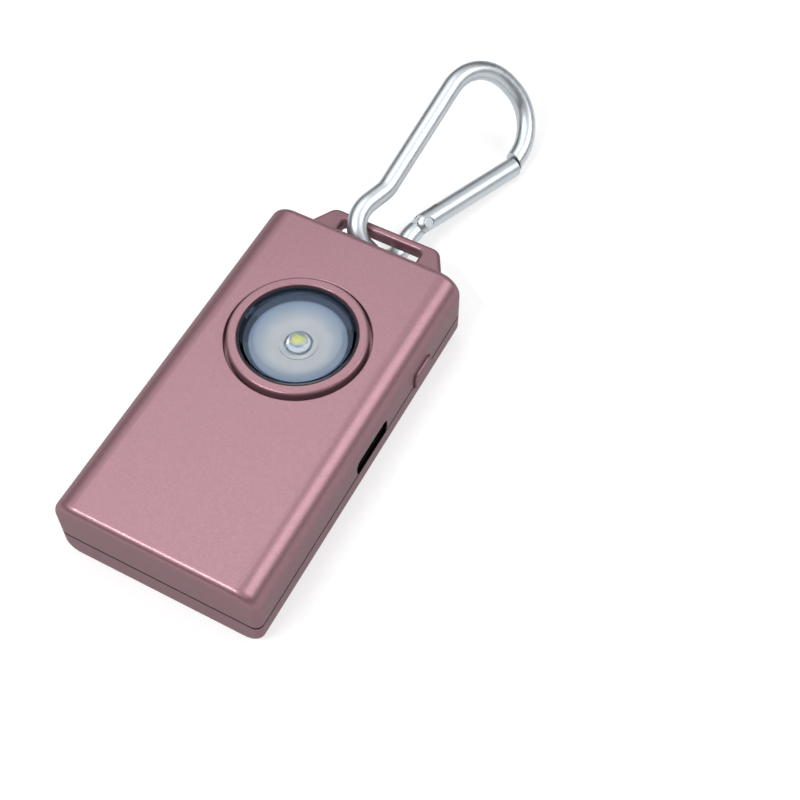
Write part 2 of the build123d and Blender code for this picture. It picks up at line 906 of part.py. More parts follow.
def contact_lever():
    nose_x = key_half_at_contact + lever_gap + lever_nose_radius
    high = lever_low_z + lever_thickness
    nose = disc(lever_nose_radius, lever_low_z, high, nose_x, lever_contact_y)
    boss = disc(lever_boss_radius, lever_low_z, high, lever_pivot_x, lever_pivot_y)
    reach = lever_contact_y - lever_pivot_y
    lean = degrees(atan2(lever_pivot_x - nose_x, reach))
    arm_length = reach / cos(radians(lean))
    arm = Rectangle(lever_width, arm_length, align=(Align.CENTER, Align.MIN))
    tail = Rectangle(lever_width, lever_tail, align=(Align.CENTER, Align.MAX))
    pivot = Pos(lever_pivot_x, lever_pivot_y, lever_low_z)
    lever = nose + boss
    lever += pivot * Rot(0, 0, lean) * extrude(arm, amount=lever_thickness)
    lever += pivot * extrude(tail, amount=lever_thickness)
    hole = lever_pin_radius + lever_pin_clearance
    return lever - disc(hole, lever_low_z - overrun, high + overrun, lever_pivot_x, lever_pivot_y)


def lever_pin():
    floor = lever_low_z - lever_floor_gap
    high = lever_low_z + lever_thickness + lever_floor_gap
    radius = lever_pin_radius - seat_clearance / 2
    return disc(radius, floor - overrun / 2, high, lever_pivot_x, lever_pivot_y)


def fixed_contact():
    x_low = lever_pivot_x + lever_width / 2 + fixed_contact_gap
    y = lever_pivot_y - lever_tail + fixed_contact_side / 2
    half = fixed_contact_side / 2
    floor = lever_low_z - lever_floor_gap
    return block(x_low, x_low + fixed_contact_side, y - half, y + half, floor, lever_low_z + lever_thickness)


def pull_key_head():
    outline = Polyline(
        (-head_base_half_width, half_length),
        (head_base_half_width, half_length),
        (head_top_half_width, head_top_y),
        (-head_top_half_width, head_top_y),
        close=True,
    )
    plate = make_face(outline)
    plate = fillet(plate.vertices().group_by(Axis.Y)[-1], head_corner_radius)
    slot_length = slot_high_y - slot_low_y
    slot = Pos(0, slot_low_y + slot_length / 2) * RectangleRounded(2 * slot_half_width, slot_length, slot_corner_radius)
    head = Pos(0, 0, head_rear_height) * extrude(plate - slot, amount=head_thickness)
    rims = head.edges().filter_by_position(
        Axis.Y, half_length + seat_clearance, head_top_y + seat_clearance
    ).filter_by(lambda e: abs(e.center().Z - head_centre_z) > head_thickness / 4)
    head = fillet(rims, head_edge_radius)
    return head - key_stub(0)


def key_stub(gap):
    """Root of the tongue, moulded into the head."""
    half = key_width / 2 - key_stub_inset - gap
    thick = key_thickness / 2 - gap
    return block(
        -half,
        half,
        half_length - overrun,
        half_length + key_stub_depth - gap,
        key_centre_z - thick,
        key_centre_z + thick,
    )


def pull_key_tongue():
    tip_half, root_half = key_tip_width / 2, key_width / 2
    outline = Polyline(
        (-root_half, half_length),
        (-tip_half, key_tip_y),
        (tip_half, key_tip_y),
        (root_half, half_length),
        close=True,
    )
    blade = make_face(outline)
    blade = fillet(blade.vertices().group_by(Axis.Y)[0], key_tip_radius)
    tongue = Pos(0, 0, key_centre_z - key_thickness / 2) * extrude(blade, amount=key_thickness)
    return tongue + (key_stub(seat_clearance) & slab_above_end())


def slab_above_end():
    """Room beyond the end face of the case."""
    reach = head_base_half_width
    return block(-reach, reach, half_length - seat_clearance, head_top_y, 0, case_depth)


def hook_route():
    """Centreline of the bent wire, from its cut end below the gate round to its nose."""
    leg = Vector(gate_pivot_across - hook_foot_right, gate_pivot_height - hook_leg_top)
    end = Vector(gate_pivot_across, gate_pivot_height) - leg.normalized() * (gate_radius + gate_end_room)
    corners = [
        (hook_foot_right, hook_leg_top, hook_leg_radius),
        (hook_foot_right, -hook_foot_drop, hook_foot_radius),
        (-hook_foot_left, -hook_foot_drop, hook_foot_radius),
        (-hook_foot_left, hook_kink_low, hook_kink_radius),
        (-hook_spine_offset, hook_kink_high, hook_kink_radius),
        (-hook_spine_offset, hook_head_top, hook_shoulder_radius),
        (hook_head_right, hook_head_top, hook_nose_radius),
    ]
    points = [(end.X, end.Y)] + [(across, up) for across, up, _ in corners] + [(hook_head_right, hook_nose_low)]
    return FilletPolyline(*points, radius=[radius for _, _, radius in corners])


def snap_hook_frame():
    path = hook_route()
    frame = sweep(Plane(origin=path @ 0, z_dir=path % 0) * Circle(hook_wire_radius), path=path)
    pivot = Vector(gate_pivot_across, gate_pivot_height)
    tab_length = (pivot - path @ 0).length + hook_wire_radius
    neck = Rectangle(tab_length, 2 * tab_radius, align=(Align.MAX, Align.CENTER))
    tab_plane = Plane(origin=pivot, x_dir=pivot - path @ 0)
    frame += tab_plane * extrude(Circle(tab_radius) + neck, amount=tab_thickness / 2, both=True)
    frame = hook_place * frame
    frame -= gate_place * nose_cut()
    frame += gate_place * latch(0)
    return frame - gate_place * Cylinder(rivet_radius + seat_clearance, 2 * tab_thickness)


def nose_cut():
    """Everything of the wire's nose that would reach past the gate's tip."""
    tip = gate_length + gate_tip_gap
    reach = 2 * gate_radius
    return block(tip - 2 * reach, tip, -reach, reach, -reach, reach)


def latch(clearance):
    """Tongue of the nose that the closed gate's tip covers, or its room."""
    half = latch_thickness / 2 + clearance
    tip = gate_length + gate_tip_gap
    if clearance:
        return block(
            tip - latch_length - latch_end_room,
            tip,
            -2 * gate_radius,
            latch_inner_offset + clearance,
            -half,
            half,
        )
    return block(
        tip - latch_length, tip + hook_wire_radius / 2, -latch_outer_offset, latch_inner_offset, -half, half
    )


def snap_hook_gate():
    rod = Plane.YZ * extrude(Circle(gate_radius), amount=gate_length)
    rod = fillet(rod.faces().sort_by(Axis.X)[-1].edges(), gate_tip_edge_radius)
    rod += Sphere(gate_radius)
    reach = 2 * gate_radius
    half_fork = gate_fork_width / 2
    rod -= block(-reach, gate_fork_length, -reach, reach, -half_fork, half_fork)
    for side in (-1, 1):
        flat_z = side * (gate_radius - rivet_flat_depth)
        z_low, z_high = sorted((flat_z, side * reach))
        rod -= disc(rivet_flat_radius, z_low, z_high)
    rod -= Cylinder(rivet_radius + rivet_hole_clearance, 2 * reach)
    bore_end = tab_radius + spring_length + spring_radius
    rod -= Plane.YZ * extrude(Circle(spring_bore_radius), amount=bore_end)
    rod -= latch(latch_clearance)
    return gate_place * rod


def gate_rivet():
    seat = gate_radius - rivet_flat_depth + seat_clearance
    top = seat + rivet_head_height
    pin = Cylinder(rivet_radius, 2 * seat + seat_clearance)
    for side in (-1, 1):
        head = disc(rivet_head_radius, seat, top)
        head = fillet(round_edges(head, top), rivet_edge_radius)
        pin += head if side > 0 else Rot(180, 0, 0) * head
    return gate_place * pin


def gate_spring():
    """Coil inside the gate that pushes it shut against the tab."""
    start = tab_radius + spring_wire_radius + seat_clearance
    height = spring_length - 2 * spring_wire_radius
    helix = Helix(height / spring_turns, height, spring_radius)
    section = Plane(origin=helix @ 0, z_dir=helix % 0) * Circle(spring_wire_radius)
    coil = sweep(section, path=helix, is_frenet=True)
    return gate_place * (Plane(origin=(start, 0, 0), z_dir=(1, 0, 0)) * coil)


parts = {
    "front_shell": front_shell,
    "rear_cover": rear_cover,
    "case_screws": case_screws,
    "lens_bezel": lens_bezel,
    "lens_seal": lens_seal,
    "torch_lens": torch_lens,
    "reflector": reflector,
    "led_package": led_package,
    "led_phosphor": led_phosphor,
    "led_board": led_board,
    "led_leads": led_leads,
    "main_board": main_board,
    "controller_chip": lambda: chip(
        controller_x, controller_y, controller_width, controller_length, controller_height
    ),
    "charger_chip": lambda: chip(charger_x, charger_y, charger_side, charger_side, charger_height),
    "board_capacitors": board_capacitors,
    "siren_coil": siren_coil,
    "charge_socket_shell": charge_socket_shell,
    "charge_socket_tongue": charge_socket_tongue,
    "side_button": side_button,
    "tact_switch": tact_switch,
    "switch_plunger": switch_plunger,
    "siren_disc": siren_disc,
    "siren_ceramic": siren_ceramic,
    "siren_foam": siren_foam,
    "siren_leads": siren_leads,
    "dust_mesh": dust_mesh,
    "battery": battery,
    "battery_pad": battery_pad,
    "battery_leads": battery_leads,
    "pull_switch_base": pull_switch_base,
    "contact_lever": contact_lever,
    "lever_pin": lever_pin,
    "fixed_contact": fixed_contact,
    "pull_key_head": pull_key_head,
    "pull_key_tongue": pull_key_tongue,
    "snap_hook_frame": snap_hook_frame,
    "snap_hook_gate": snap_hook_gate,
    "gate_rivet": gate_rivet,
    "gate_spring": gate_spring,
}

os.makedirs("parts", exist_ok=True)
for name, make in parts.items():
    export_step(make(), f"parts/{name}.step")
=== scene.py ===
from math import cos, pi, radians, sin

import bmesh
import bpy
from bpy.props import (
    BoolProperty,
    FloatProperty,
    FloatVectorProperty,
    IntProperty,
    PointerProperty,
)
from bpy.types import Operator, Panel, PropertyGroup
from mathutils import Matrix, Vector


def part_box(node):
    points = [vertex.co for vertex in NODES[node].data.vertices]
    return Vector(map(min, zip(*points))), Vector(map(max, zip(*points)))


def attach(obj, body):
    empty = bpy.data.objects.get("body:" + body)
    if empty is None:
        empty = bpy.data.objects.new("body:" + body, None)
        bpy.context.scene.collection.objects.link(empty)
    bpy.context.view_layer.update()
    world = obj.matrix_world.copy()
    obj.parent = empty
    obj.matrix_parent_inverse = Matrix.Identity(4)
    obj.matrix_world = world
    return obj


bl_info = {
    "name": "Pocket Safety Alarm",
    "version": (1, 0, 0),
    "blender": (4, 5, 0),
    "location": "3D View > Sidebar > Alarm",
    "description": "Finishes a pocket safety alarm with its torch, pull key and snap hook",
    "category": "Add Mesh",
}

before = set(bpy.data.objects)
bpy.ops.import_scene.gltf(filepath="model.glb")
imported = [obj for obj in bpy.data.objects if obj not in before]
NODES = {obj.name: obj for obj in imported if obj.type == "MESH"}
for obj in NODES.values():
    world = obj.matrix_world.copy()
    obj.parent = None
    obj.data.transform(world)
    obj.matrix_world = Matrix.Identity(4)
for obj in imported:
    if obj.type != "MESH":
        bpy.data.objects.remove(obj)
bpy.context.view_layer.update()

SHELL_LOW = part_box("front_shell")[0]
LENS_LOW, LENS_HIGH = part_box("torch_lens")
LED_LOW, LED_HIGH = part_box("led_package")
SOCKET_LOW, SOCKET_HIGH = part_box("charge_socket_shell")
TONGUE_LOW, TONGUE_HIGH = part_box("charge_socket_tongue")
TORCH_CENTRE = (LENS_LOW + LENS_HIGH) / 2
LED_CENTRE = (LED_LOW + LED_HIGH) / 2
TONGUE_CENTRE = (TONGUE_LOW + TONGUE_HIGH) / 2
SOCKET_CENTRE = (SOCKET_LOW + SOCKET_HIGH) / 2
PORT_CENTRE = Vector((SOCKET_HIGH.x, SOCKET_CENTRE.y, SOCKET_CENTRE.z))


# Sizes and colours that a user may change


class CaseSettings(PropertyGroup):
    paint: FloatVectorProperty(
        name="Paint", description="Colour of the rose paint", subtype="COLOR", size=3, min=0, max=1,
        default=(0.31, 0.171, 0.198),
    )
    metal: FloatProperty(
        name="Metal", description="Share of metal in the paint", subtype="FACTOR",
        min=0, max=1, default=0.5,
    )
    roughness: FloatProperty(
        name="Roughness", description="Satin of the paint", subtype="FACTOR", min=0, max=1, default=0.34,
    )
    grain: FloatProperty(
        name="Grain", description="Size of the paint's sparkle", unit="LENGTH",
        min=0.00005, max=0.002, default=0.00022,
    )
    seam_width: FloatProperty(
        name="Seam Width", description="Width of the shadowed groove between the halves", unit="LENGTH",
        min=0.0001, max=0.0006, default=0.00045,
    )


class TorchSettings(PropertyGroup):
    lens_tint: FloatVectorProperty(
        name="Lens Tint", description="Colour of the clear lens", subtype="COLOR", size=3, min=0, max=1,
        default=(0.86, 0.90, 0.94),
    )
    bowl: FloatVectorProperty(
        name="Bowl", description="Colour of the reflector's middle", subtype="COLOR", size=3, min=0, max=1,
        default=(0.563, 0.54, 0.495),
    )
    # Painted shade: the reflector's colour darkens towards its mouth.
    bowl_edge_shade: FloatVectorProperty(
        name="Bowl Edge", description="Colour of the reflector towards its mouth", subtype="COLOR",
        size=3, min=0, max=1, default=(0.20, 0.25, 0.33),
    )
    # The dark band at the reflector's mouth is a printed border, also deepened to navy as painted shade.
    rim: FloatVectorProperty(
        name="Rim", description="Colour of the dark band at the reflector's mouth", subtype="COLOR",
        size=3, min=0, max=1, default=(0.008, 0.012, 0.025),
    )
    rim_radius: FloatProperty(
        name="Rim Radius", description="Radius at which the dark band starts", unit="LENGTH",
        min=0.005, max=0.009, default=0.0080,
    )
    # Painted shade and light: shifts the dark band off centre, so it is wider on the shaded side and the
    # milky disc lies towards the lit side.
    rim_shade_shift: FloatVectorProperty(
        name="Rim Shift", description="How far the milky disc lies off the lens's centre",
        subtype="TRANSLATION", unit="LENGTH", size=3, default=(0.00035, -0.00055, 0),
    )
    phosphor: FloatVectorProperty(
        name="Phosphor", description="Colour of the light chip", subtype="COLOR", size=3, min=0, max=1,
        default=(0.95, 0.91, 0.06),
    )
    dome_height: FloatProperty(
        name="Dome Height", description="Height of the clear bead over the light chip", unit="LENGTH",
        min=0.0003, max=0.0013, default=0.00125,
    )


class HookSettings(PropertyGroup):
    metal: FloatVectorProperty(
        name="Metal", description="Colour of the hook's metal", subtype="COLOR", size=3, min=0, max=1,
        default=(0.53, 0.57, 0.60),
    )
    roughness: FloatProperty(
        name="Roughness", description="Polish of the wire", subtype="FACTOR", min=0, max=1, default=0.38,
    )


class InsideSettings(PropertyGroup):
    board: FloatVectorProperty(
        name="Board", description="Colour of the circuit boards", subtype="COLOR", size=3, min=0, max=1,
        default=(0.02, 0.12, 0.05),
    )
    pads: IntProperty(
        name="Pads", description="Contacts on each face of the socket's tongue", min=4, max=12, default=12,
    )
    pad_width: FloatProperty(
        name="Pad Width", description="Width of one contact", unit="LENGTH",
        min=0.0001, max=0.0004, default=0.00025,
    )
    pad_pitch: FloatProperty(
        name="Pad Pitch", description="Distance from one contact to the next", unit="LENGTH",
        min=0.0003, max=0.0006, default=0.0005,
    )
    pad_length: FloatProperty(
        name="Pad Length", description="Length of one contact", unit="LENGTH",
        min=0.001, max=0.0034, default=0.0026,
    )


class StageSettings(PropertyGroup):
    table: FloatVectorProperty(
        name="Table", description="Colour of the table", subtype="COLOR", size=3, min=0, max=1,
        default=(0.47, 0.47, 0.47),
    )
    table_glow: FloatProperty(
        name="Table Glow", description="White added to the table where it is seen", min=0, max=1,
        default=0.62,
    )
    table_reach: FloatProperty(
        name="Table Reach", description="Half the side of the table", unit="LENGTH",
        min=0.2, max=2, default=0.5,
    )
    surround_radius: FloatProperty(
        name="Surround Radius", description="Distance of the dark card round the stage", unit="LENGTH",
        min=0.4, max=2, default=0.75,
    )
    surround_height: FloatProperty(
        name="Surround Height", description="Height of the dark card round the stage", unit="LENGTH",
        min=0.05, max=1, default=0.45,
    )
    camera_place: FloatVectorProperty(
        name="Camera Place", description="Where the camera stands", subtype="TRANSLATION",
        unit="LENGTH", size=3, default=(0.07777, -0.10101, 0.20698),
    )
    camera_turn: FloatVectorProperty(
        name="Camera Turn", description="How the camera is turned", subtype="EULER", size=3,
        default=(radians(32.62), 0, radians(28.03)),
    )
    lens: FloatProperty(
        name="Lens", description="Focal length", unit="CAMERA", min=10, max=200, default=65.7,
    )
    show_lamps: BoolProperty(name="Lamps", description="Light the stage with soft boxes", default=True)


# Node materials


class Finish:
    """A node material with one shader, and short calls for its texture nodes."""

    def __init__(self, name):
        self.material = bpy.data.materials.new(name)
        self.material.use_nodes = True
        self.nodes = self.material.node_tree.nodes
        self.links = self.material.node_tree.links
        self.shader = self.nodes["Principled BSDF"]
        self.place = None

    def set(self, **values):
        for key, value in values.items():
            self.shader.inputs[key.replace("_", " ").title()].default_value = value
        return self

    def named(self, socket, value):
        self.shader.inputs[socket].default_value = value
        return self

    def point(self, stretch=(1, 1, 1)):
        if self.place is None:
            self.place = self.nodes.new("ShaderNodeTexCoord")
        if tuple(stretch) == (1, 1, 1):
            return self.place.outputs["Object"]
        mapping = self.nodes.new("ShaderNodeMapping")
        mapping.inputs["Scale"].default_value = stretch
        self.links.new(self.place.outputs["Object"], mapping.inputs["Vector"])
        return mapping.outputs["Vector"]

    def noise(self, size, detail=3.0, stretch=(1, 1, 1)):
        node = self.nodes.new("ShaderNodeTexNoise")
        node.inputs["Scale"].default_value = 1 / size
        node.inputs["Detail"].default_value = detail
        self.links.new(self.point(stretch), node.inputs["Vector"])
        return node.outputs["Fac"]

    def cells(self, size, feature="F1", output="Distance"):
        node = self.nodes.new("ShaderNodeTexVoronoi")
        node.feature = feature
        node.inputs["Scale"].default_value = 1 / size
        self.links.new(self.point(), node.inputs["Vector"])
        return node.outputs[output]

    def wave(self, size, direction):
        node = self.nodes.new("ShaderNodeTexWave")
        node.bands_direction = direction
        node.inputs["Scale"].default_value = 1 / size
        self.links.new(self.point(), node.inputs["Vector"])
        return node.outputs["Fac"]

    def away_from(self, centre):
        """Distance from an upright line through a point."""
        flat = self.nodes.new("ShaderNodeVectorMath")
        flat.operation = "MULTIPLY"
        flat.inputs[1].default_value = (1, 1, 0)
        self.links.new(self.point(), flat.inputs[0])
        distance = self.nodes.new("ShaderNodeVectorMath")
        distance.operation = "DISTANCE"
        distance.inputs[1].default_value = (centre.x, centre.y, 0)
        self.links.new(flat.outputs["Vector"], distance.inputs[0])
        return distance.outputs["Value"]

    def within(self, centre, half_size):
        """1 inside an upright box, else 0."""
        middle = self.nodes.new("ShaderNodeVectorMath")
        middle.operation = "SUBTRACT"
        middle.inputs[1].default_value = centre
        self.links.new(self.point(), middle.inputs[0])
        size = self.nodes.new("ShaderNodeVectorMath")
        size.operation = "ABSOLUTE"
        self.links.new(middle.outputs["Vector"], size.inputs[0])
        parted = self.nodes.new("ShaderNodeSeparateXYZ")
        self.links.new(size.outputs["Vector"], parted.inputs[0])
        inside = None
        for axis, limit in zip("XYZ", half_size):
            near = self.nodes.new("ShaderNodeMath")
            near.operation = "LESS_THAN"
            near.inputs[1].default_value = limit
            self.links.new(parted.outputs[axis], near.inputs[0])
            if inside is None:
                inside = near.outputs[0]
                continue
            both = self.nodes.new("ShaderNodeMath")
            both.operation = "MULTIPLY"
            self.links.new(inside, both.inputs[0])
            self.links.new(near.outputs[0], both.inputs[1])
            inside = both.outputs[0]
        return inside

    def height(self):
        """Height above the table."""
        parted = self.nodes.new("ShaderNodeSeparateXYZ")
        self.links.new(self.point(), parted.inputs[0])
        return parted.outputs["Z"]

    def spread(self, value, low, high, to_low, to_high):
        """Map low..high to to_low..to_high."""
        node = self.nodes.new("ShaderNodeMapRange")
        limits = {"From Min": low, "From Max": high, "To Min": to_low, "To Max": to_high}
        for socket, number in limits.items():
            node.inputs[socket].default_value = number
        self.links.new(value, node.inputs["Value"])
        return node.outputs["Result"]

    def blend_colours(self, factor, first, second):
        node = self.nodes.new("ShaderNodeMix")
        node.data_type = "RGBA"
        colours = [s for s in node.inputs if s.type == "RGBA"]
        for socket, colour in zip(colours, (first, second)):
            if isinstance(colour, bpy.types.NodeSocket):
                self.links.new(colour, socket)
            else:
                socket.default_value = (*colour[:3], 1)
        self.links.new(factor, node.inputs[0])
        return [s for s in node.outputs if s.type == "RGBA"][0]

    def colour(self, value):
        self.links.new(value, self.shader.inputs["Base Color"])
        return self

    def cover(self, factor, colour):
        """Lay a colour over the present one."""
        under = self.shader.inputs["Base Color"].links[0].from_socket
        return self.colour(self.blend_colours(factor, under, colour))

    def mottle(self, texture, low, high):
        """Let a noise vary the roughness between two numbers."""
        self.links.new(self.spread(texture, 0.3, 0.7, low, high), self.shader.inputs["Roughness"])
        return self

    def bump(self, height, depth, strength=0.3):
        node = self.nodes.new("ShaderNodeBump")
        node.inputs["Strength"].default_value = strength
        node.inputs["Distance"].default_value = depth
        if self.shader.inputs["Normal"].is_linked:
            self.links.new(self.shader.inputs["Normal"].links[0].from_socket, node.inputs["Normal"])
        self.links.new(height, node.inputs["Height"])
        self.links.new(node.outputs["Normal"], self.shader.inputs["Normal"])
        return self

    def on(self, *names):
        for name in names:
            for socket in NODES[name].material_slots:
                socket.material = self.material
        return self


def tint(colour, factor):
    return tuple(min(1.0, c * factor) for c in colour[:3])


def seen_rays(nodes, links):
    """1 for the camera's rays and for those that metal and glass send on, else 0."""
    path = nodes.new("ShaderNodeLightPath")
    seen = path.outputs["Is Camera Ray"]
    for kind in ("Is Glossy Ray", "Is Transmission Ray"):
        either = nodes.new("ShaderNodeMath")
        either.operation = "MAXIMUM"
        links.new(seen, either.inputs[0])
        links.new(path.outputs[kind], either.inputs[1])
        seen = either.outputs[0]
    return seen


def satin_paint(name, case, shade=1.0):
    """Metallic paint: a fine sparkle, a faint cloud and an orange-peel surface."""
    colour, grain, roughness = tint(case.paint, shade), case.grain, case.roughness
    paint = Finish(name)
    paint.set(metallic=case.metal)
    paint.named("Specular IOR Level", 0.15).named("Specular Tint", (0.1, 0.05, 0.06, 1))
    paint.named("Coat Weight", 0.18).named("Coat Roughness", 0.12)
    sparkle = paint.spread(paint.cells(grain, output="Color"), 0.25, 0.9, 0, 1)
    cloud = paint.noise(grain * 30, 2.0)
    flakes = paint.blend_colours(sparkle, tint(colour, 0.95), tint(colour, 1.05))
    paint.colour(paint.blend_colours(paint.spread(cloud, 0.35, 0.7, 0, 0.25), flakes, tint(colour, 1.03)))
    paint.mottle(paint.noise(grain * 2.5, 4.0), roughness - 0.02, roughness + 0.05)
    paint.bump(paint.noise(grain * 1.6, 3.0), grain * 0.05, 0.18)
    return paint


def moulded_plastic(name, colour, roughness, texture=0.0003):
    """Moulded plastic with a faint cloud and a fine spark-eroded texture."""
    plastic = Finish(name)
    cloud = plastic.noise(texture * 14)
    plastic.colour(plastic.blend_colours(cloud, tint(colour, 0.85), tint(colour, 1.12)))
    plastic.mottle(plastic.noise(texture * 3), roughness - 0.06, roughness + 0.06)
    plastic.bump(plastic.noise(texture), texture * 0.1, 0.3)
    return plastic


def drawn_metal(name, colour, roughness, line=0.00012, stretch=(1, 1, 12)):
    """Metal with fine drawing lines and a little tarnish."""
    metal = Finish(name)
    metal.set(metallic=1.0)
    metal.colour(metal.blend_colours(metal.noise(line * 40, 4.0), tint(colour, 0.92), tint(colour, 1.04)))
    metal.mottle(metal.noise(line * 3, 3.0, stretch=stretch), roughness - 0.04, roughness + 0.06)
    metal.bump(metal.noise(line, 2.0, stretch=stretch), line * 0.02, 0.08)
    return metal


# New pieces


def piece(name, mesh_maker, finish, body):
    """Mesh object from a bmesh function, dressed and riding a body."""
    shape = bmesh.new()
    mesh_maker(shape)
    mesh = bpy.data.meshes.new(name)
    shape.to_mesh(mesh)
    shape.free()
    for face in mesh.polygons:
        face.use_smooth = True
    thing = bpy.data.objects.new(name, mesh)
    bpy.context.scene.collection.objects.link(thing)
    mesh.materials.append(finish.material)
    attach(thing, body)
    return thing


def soften(thing, width):
    """Round the sharp edges a little."""
    bevel = thing.modifiers.new("Edges", "BEVEL")
    bevel.width = width
    bevel.segments = 2
    bevel.limit_method = "ANGLE"
    bevel.angle_limit = radians(40)


def ring_of_points(shape, centre, radius, height, steps):
    """Points on a level circle."""
    ring = []
    for i in range(steps):
        angle = 2 * pi * i / steps
        point = (centre.x + radius * cos(angle), centre.y + radius * sin(angle), height)
        ring.append(shape.verts.new(point))
    return ring


def turned_profile(shape, profile, centre):
    """Solid of revolution about a vertical line, from (radius, height) points."""
    steps = 96
    rings = []
    for radius, height in profile:
        if radius == 0:
            rings.append([shape.verts.new((centre.x, centre.y, height))])
        else:
            rings.append(ring_of_points(shape, centre, radius, height, steps))
    for low, high in zip(rings, rings[1:]):
        for i in range(steps):
            j = (i + 1) % steps
            corners = [low[i % len(low)], low[j % len(low)], high[j % len(high)], high[i % len(high)]]
            unique = list(dict.fromkeys(corners))
            if len(unique) > 2:
                shape.faces.new(unique)
    bmesh.ops.recalc_face_normals(shape, faces=shape.faces)


# Operators, one for each piece or group of like pieces


class ALARM_OT_stage(Operator):
    """White table, soft boxes and the camera"""

    bl_idname = "alarm.stage"
    bl_label = "Stage"

    def execute(self, context):
        stage = context.scene.alarm_stage
        context.scene.view_settings.view_transform = "Standard"
        self.table(stage)
        self.surround(stage)
        self.sky(context)
        if stage.show_lamps:
            self.lamps(context)
        data = bpy.data.cameras.new("Camera")
        data.lens = stage.lens
        data.clip_start = 0.01
        camera = bpy.data.objects.new("Camera", data)
        camera.location = stage.camera_place
        camera.rotation_euler = stage.camera_turn
        context.scene.collection.objects.link(camera)
        context.scene.camera = camera
        return {"FINISHED"}

    def table(self, stage):
        mesh = bpy.data.meshes.new("Table")
        reach = stage.table_reach
        near, far = reach * 0.4, reach * 0.85
        sink = 0.00005
        corners = [(-reach, -reach, 0), (reach, -reach, 0), (reach, reach, 0), (-reach, reach, 0)]
        mesh.from_pydata(corners, [], [(0, 1, 2, 3)])
        table = bpy.data.objects.new("Table", mesh)
        table.location.z = -sink
        bpy.context.scene.collection.objects.link(table)
        cover = Finish("Table")
        cover.shader.inputs["Base Color"].default_value = (*stage.table, 1)
        cover.set(roughness=0.9).named("Specular IOR Level", 0.1)
        glow = cover.nodes.new("ShaderNodeMath")
        glow.operation = "MULTIPLY"
        fade = cover.spread(cover.away_from(Vector()), near, far, stage.table_glow, 1)
        cover.links.new(fade, glow.inputs[1])
        cover.links.new(seen_rays(cover.nodes, cover.links), glow.inputs[0])
        cover.shader.inputs["Emission Color"].default_value = (1, 1, 1, 1)
        cover.links.new(glow.outputs[0], cover.shader.inputs["Emission Strength"])
        mesh.materials.append(cover.material)

    def surround(self, stage):
        """Low dark card round the table, which draws the dark lines along edges and wire."""
        shape = bmesh.new()
        steps = 48
        low = ring_of_points(shape, Vector(), stage.surround_radius, 0, steps)
        high = ring_of_points(shape, Vector(), stage.surround_radius, stage.surround_height, steps)
        for i in range(steps):
            j = (i + 1) % steps
            shape.faces.new((low[i], low[j], high[j], high[i]))
        mesh = bpy.data.meshes.new("Surround")
        shape.to_mesh(mesh)
        shape.free()
        card = bpy.data.objects.new("Surround", mesh)
        bpy.context.scene.collection.objects.link(card)
        mesh.materials.append(moulded_plastic("Dark Card", (0.03, 0.03, 0.032), 0.8, 0.002).material)
        card.visible_camera = False
        card.visible_transmission = False

    def sky(self, context):
        """Dim room, which the camera, metal and glass see as white."""
        world = bpy.data.worlds.new("Studio")
        world.use_nodes = True
        context.scene.world = world
        nodes, links = world.node_tree.nodes, world.node_tree.links
        room = nodes["Background"]
        place = nodes.new("ShaderNodeTexCoord")
        height = nodes.new("ShaderNodeSeparateXYZ")
        ramp = nodes.new("ShaderNodeValToRGB")
        stops = ramp.color_ramp.elements
        stops[0].position, stops[0].color = 0.0, (0.05, 0.05, 0.055, 1)
        stops[1].position, stops[1].color = 0.95, (0.44, 0.44, 0.45, 1)
        links.new(place.outputs["Generated"], height.inputs[0])
        links.new(height.outputs["Z"], ramp.inputs["Fac"])
        links.new(ramp.outputs["Color"], room.inputs["Color"])
        white = nodes.new("ShaderNodeBackground")
        white.inputs["Color"].default_value = (1, 1, 1, 1)
        choose = nodes.new("ShaderNodeMixShader")
        links.new(seen_rays(nodes, links), choose.inputs[0])
        links.new(room.outputs[0], choose.inputs[1])
        links.new(white.outputs[0], choose.inputs[2])
        links.new(choose.outputs[0], nodes["World Output"].inputs["Surface"])

    def lamps(self, context):
        """Soft boxes: name, place, size and watts."""
        boxes = [
            ("Back", (-0.25, 0.20, 0.81), (0.56, 0.5), 1.6),
            ("Edge", (0.49, 0.28, 0.48), (0.46, 0.45), 2.4),
            ("Top", (-0.22, -0.42, 0.70), (0.45, 0.035), 4.3),
        ]
        for name, place, size, power in boxes:
            data = bpy.data.lights.new(name, "AREA")
            data.shape = "RECTANGLE"
            data.size, data.size_y = size
            data.energy = power
            lamp = bpy.data.objects.new(name, data)
            lamp.location = place
            lamp.rotation_euler = (-Vector(place)).to_track_quat("-Z", "Y").to_euler()
            context.scene.collection.objects.link(lamp)


class ALARM_OT_case(Operator):
    """Rose satin paint on the two halves of the case"""

    bl_idname = "alarm.case"
    bl_label = "Case"

    def execute(self, context):
        case = context.scene.alarm_case
        front = satin_paint("Rose Front Paint", case)
        rear = satin_paint("Rose Rear Paint", case)
        seam, width, shadow = SHELL_LOW.z, case.seam_width, tint(case.paint, 0.03)
        above, blur = width * 0.2, width * 0.1
        rear.cover(rear.spread(rear.height(), seam - width, seam - width + blur, 0, 1), shadow)
        front.cover(front.spread(front.height(), seam + above, seam + above + blur, 1, 0), shadow)
        # Painted shade: both halves' paint is painted near black inside the charging port's mouth,
        # standing in for the shade in that recess.
        mouth_centre = PORT_CENTRE - Vector((0.001, 0, 0))
        mouth_half_size = (0.0014, 0.0052, 0.0019)
        black = (0.002, 0.002, 0.002)
        for paint in (front, rear):
            paint.cover(paint.within(mouth_centre, mouth_half_size), black)
        front.on("front_shell")
        rear.on("rear_cover")
        return {"FINISHED"}


class ALARM_OT_screws(Operator):
    """Zinc-plated screws in the rear cover"""

    bl_idname = "alarm.screws"
    bl_label = "Case Screws"

    def execute(self, context):
        drawn_metal("Zinc Plate", (0.55, 0.56, 0.58), 0.34, 0.0001).on("case_screws")
        return {"FINISHED"}


